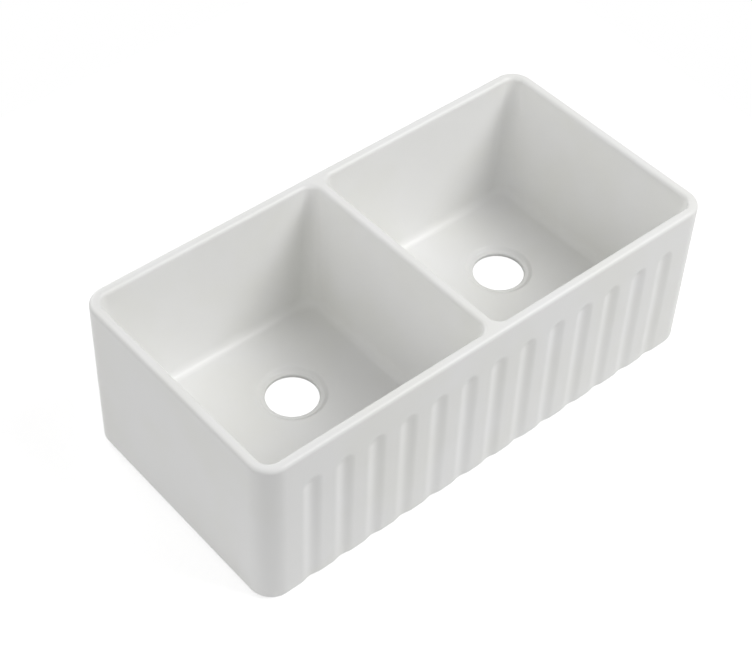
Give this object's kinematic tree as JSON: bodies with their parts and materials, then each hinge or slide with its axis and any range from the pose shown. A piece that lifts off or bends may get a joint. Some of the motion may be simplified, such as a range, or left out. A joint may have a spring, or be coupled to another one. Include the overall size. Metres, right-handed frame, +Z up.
{
  "type": "farmhouse apron front sink",
  "caption": "Deep rectangular ceramic sink with side-by-side bowls, a fluted apron front, soft rounded edges and open round outlets.",
  "frame": {"origin": "under the middle of the sink, on the plane that it stands on", "axes": "+Z up, +X to the right along the apron, and the fluted apron faces -Y"},
  "size_m": [0.914, 0.457, 0.305],
  "materials": {
    "glazed_fireclay": "gloss white glaze, fired on"
  },
  "bodies": {
    "root": {"sink_body": "glazed_fireclay"}
  },
  "joints": []
}
